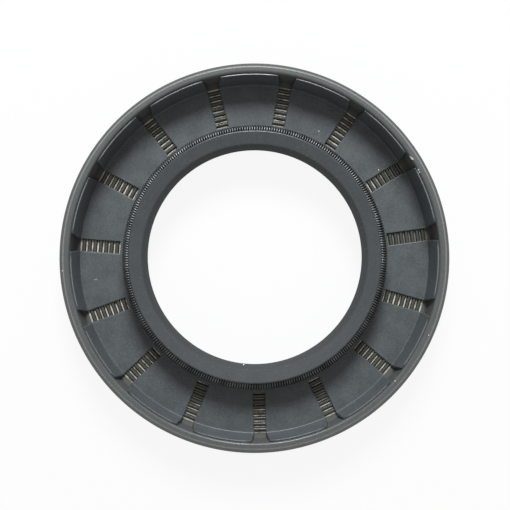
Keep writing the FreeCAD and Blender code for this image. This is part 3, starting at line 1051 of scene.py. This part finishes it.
class SEAL_OT_ridges(PieceOperator, bpy.types.Operator):
    """Lay the rubber ridges across the floor of every slot"""

    bl_idname = "seal.ridges"
    bl_label = "Slot Ridges"

    def execute(self, context):
        sizes = context.scene.seal_sizes
        foot = sizes.ridge_foot / 2
        top = sizes.ridge_top / 2
        base = flange_top(sizes)
        half_length = slot_half_width(sizes, base + sizes.ridge_height) + sizes.slot_rounding

        def build(shape):
            section = rounded(
                [
                    (-foot, 0, 0),
                    (-top, sizes.ridge_height, sizes.ridge_rounding),
                    (top, sizes.ridge_height, sizes.ridge_rounding),
                    (foot, 0, 0),
                ]
            )
            ends = [
                [shape.verts.new((x, y, base + z)) for x, z in section]
                for y in (-half_length, half_length)
            ]
            bridge(shape, [end + end[:1] for end in ends])
            for end in ends:
                shape.faces.new(end)

        rubber = bpy.data.materials.get("moulded_rubber")
        values = {
            "Ridges": sizes.ridge_count,
            "First Radius": sizes.slot_inner + sizes.strip_width + foot,
            "Pitch": sizes.ridge_foot + sizes.strip_width,
            "Slots": sizes.slot_count,
            "First Angle": sizes.first_slot,
            "Material": rubber or rubber_material(sizes, context.scene.seal_finish),
        }
        piece = run_tree("slot_ridges", mesh_from("ridge", build), ridges_tree(), values)
        self.dress(piece, "rubber_body", "rubber")
        return {"FINISHED"}


class SEAL_OT_case(PieceOperator, bpy.types.Operator):
    """Press the steel case: flange, bend and wall in one ring"""

    bl_idname = "seal.case"
    bl_label = "Steel Case"

    def execute(self, context):
        sizes = context.scene.seal_sizes
        inside, outside = case_section(sizes)
        outline = inside + outside[:-1]

        def build(shape):
            turns = [math.tau * i / CASE_STEPS for i in range(CASE_STEPS)]
            rings = [
                [shape.verts.new((r * math.cos(t), r * math.sin(t), z)) for t in turns] for r, z in outline
            ]
            bridge(shape, [ring + ring[:1] for ring in rings + rings[:1]])

        piece = new_object("pressed_case", mesh_from("pressed_case", build))
        piece.data.materials.append(case_material(sizes, context.scene.seal_finish))
        self.dress(piece, "steel_case", "case_steel")
        return {"FINISHED"}


class SEAL_OT_spring(PieceOperator, bpy.types.Operator):
    """Wind the garter spring: a closed ring of close-wound wire"""

    bl_idname = "seal.spring"
    bl_label = "Garter Spring"

    def execute(self, context):
        sizes = context.scene.seal_sizes
        wire = sizes.wire_diameter / 2
        values = {
            "Turns": sizes.coil_turns,
            "Points per Turn": COIL_POINTS,
            "Ring Radius": SPRING_RADIUS,
            "Coil Radius": COIL_RADIUS - wire,
            "Height": SPRING_PLANE,
            "Wire Radius": wire,
            "Wire Sides": WIRE_SIDES,
            "Material": wire_material(context.scene.seal_finish),
        }
        piece = run_tree("coil_spring", bpy.data.meshes.new("start"), coil_tree(), values)
        self.dress(piece, "garter_spring", "spring_steel")
        return {"FINISHED"}


class SEAL_OT_stage(bpy.types.Operator):
    """Set the floor, the sky, the lamps and the camera"""

    bl_idname = "seal.stage"
    bl_label = "Stage"
    bl_options = {"REGISTER", "UNDO"}

    def execute(self, context):
        stage = context.scene.seal_stage
        self.make_floor(stage)
        self.make_sky(context.scene, stage)
        self.make_key(context.scene, stage)
        self.make_camera(context.scene, stage)
        context.scene.view_settings.view_transform = "Standard"
        return {"FINISHED"}

    def make_floor(self, stage):
        def build(shape):
            bmesh.ops.create_circle(shape, cap_ends=True, segments=FLOOR_SIDES, radius=stage.floor_radius)

        floor = new_object("floor", mesh_from("floor", build))
        floor.location.z = -stage.floor_gap
        floor.data.materials.append(self.floor_material(stage))

    def floor_material(self, stage):
        """White to the eye and in reflections, with a share of plain paint that takes the shadow."""
        material, tree, shader = new_material("pale_floor")
        shader.inputs["Base Color"].default_value = (*[FLOOR_GREY] * 3, 1)
        shader.inputs["Roughness"].default_value = FLOOR_ROUGHNESS
        path = add_node(tree, "ShaderNodeLightPath").outputs
        seen = calculate(tree, "MAXIMUM", path["Is Camera Ray"], path["Is Glossy Ray"])
        seen = calculate(tree, "MAXIMUM", seen, path["Is Transmission Ray"])
        cover = product(tree, seen, stage.floor_white)
        white = add_node(tree, "ShaderNodeEmission", {"Color": (1, 1, 1, 1), "Strength": 1.0})
        mix = add_node(tree, "ShaderNodeMixShader", {0: cover, 1: shader.outputs[0], 2: white.outputs[0]})
        tree.links.new(mix.outputs[0], tree.nodes["Material Output"].inputs["Surface"])
        return material

    def make_sky(self, scene, stage):
        """Even light from all round, and a little more from the photo's lower edge."""
        world = bpy.data.worlds.new("soft_sky")
        world.use_nodes = True
        tree = world.node_tree
        direction = add_node(tree, "ShaderNodeTexCoord").outputs["Generated"]
        parts = add_node(tree, "ShaderNodeSeparateXYZ", {0: direction}).outputs
        front = calculate(tree, "MAXIMUM", product(tree, parts["Y"], -1.0), 0.0)
        background = tree.nodes["Background"]
        background.inputs["Color"].default_value = (*stage.sky_colour, 1)
        strength = calculate(tree, "MULTIPLY_ADD", front, stage.fill_level, stage.sky_level)
        tree.links.new(strength, background.inputs["Strength"])
        scene.world = world

    def make_key(self, scene, stage):
        """A round lamp that faces the seal from above the photo's upper edge."""
        lamp = bpy.data.lights.new("key", "AREA")
        lamp.shape = "DISK"
        lamp.size = stage.key_size
        lamp.energy = stage.key_power
        lamp.color = stage.key_colour
        key = bpy.data.objects.new("key", lamp)
        scene.collection.objects.link(key)
        azimuth, elevation = stage.key_azimuth, stage.key_elevation
        across = Vector((math.cos(azimuth), math.sin(azimuth), 0)) * math.cos(elevation)
        direction = across + Vector((0, 0, math.sin(elevation)))
        key.location = direction * stage.lamp_distance
        key.rotation_mode = "QUATERNION"
        key.rotation_quaternion = (-direction).to_track_quat("-Z", "Y")

    def make_camera(self, scene, stage):
        """Looks down at the rim, with the photo's small lean to the left and down."""
        camera = bpy.data.objects.new("camera", bpy.data.cameras.new("camera"))
        scene.collection.objects.link(camera)
        camera.data.lens = stage.lens
        camera.data.sensor_width = 36.0
        place = Vector((-stage.camera_left, -stage.camera_down, stage.camera_height))
        target = Vector((0, stage.aim_up, SEAL_WIDTH))
        camera.location = place
        camera.rotation_mode = "QUATERNION"
        backwards = (place - target).normalized()
        upwards = Vector((math.sin(stage.camera_roll), math.cos(stage.camera_roll), 0))
        right = upwards.cross(backwards).normalized()
        axes = Matrix((right, backwards.cross(right), backwards)).transposed()
        camera.rotation_quaternion = axes.to_quaternion()
        camera.data.clip_start = 0.01
        camera.data.clip_end = 10.0
        scene.camera = camera


class VIEW3D_PT_seal(bpy.types.Panel):
    """The seal's sizes, colours and build steps"""

    bl_label = "Radial Shaft Seal"
    bl_space_type = "VIEW_3D"
    bl_region_type = "UI"
    bl_category = "Seal"

    def draw(self, context):
        for group in (context.scene.seal_sizes, context.scene.seal_finish, context.scene.seal_stage):
            box = self.layout.box()
            for name in group.__annotations__:
                box.prop(group, name)
        for operator in OPERATORS:
            self.layout.operator(operator.bl_idname)


GROUPS = {"seal_sizes": SealSizes, "seal_finish": SealFinish, "seal_stage": SealStage}
OPERATORS = (SEAL_OT_rubber, SEAL_OT_ridges, SEAL_OT_case, SEAL_OT_spring, SEAL_OT_stage)


def register():
    for item in (*GROUPS.values(), *OPERATORS, VIEW3D_PT_seal):
        bpy.utils.register_class(item)
    for name, group in GROUPS.items():
        setattr(bpy.types.Scene, name, PointerProperty(type=group))


def unregister():
    for name in GROUPS:
        delattr(bpy.types.Scene, name)
    for item in reversed((*GROUPS.values(), *OPERATORS, VIEW3D_PT_seal)):
        bpy.utils.unregister_class(item)


def main():
    register()
    bpy.ops.seal.rubber()
    bpy.ops.seal.ridges()
    bpy.ops.seal.case()
    bpy.ops.seal.spring()
    bpy.ops.seal.stage()


if __name__ == "__main__":
    main()
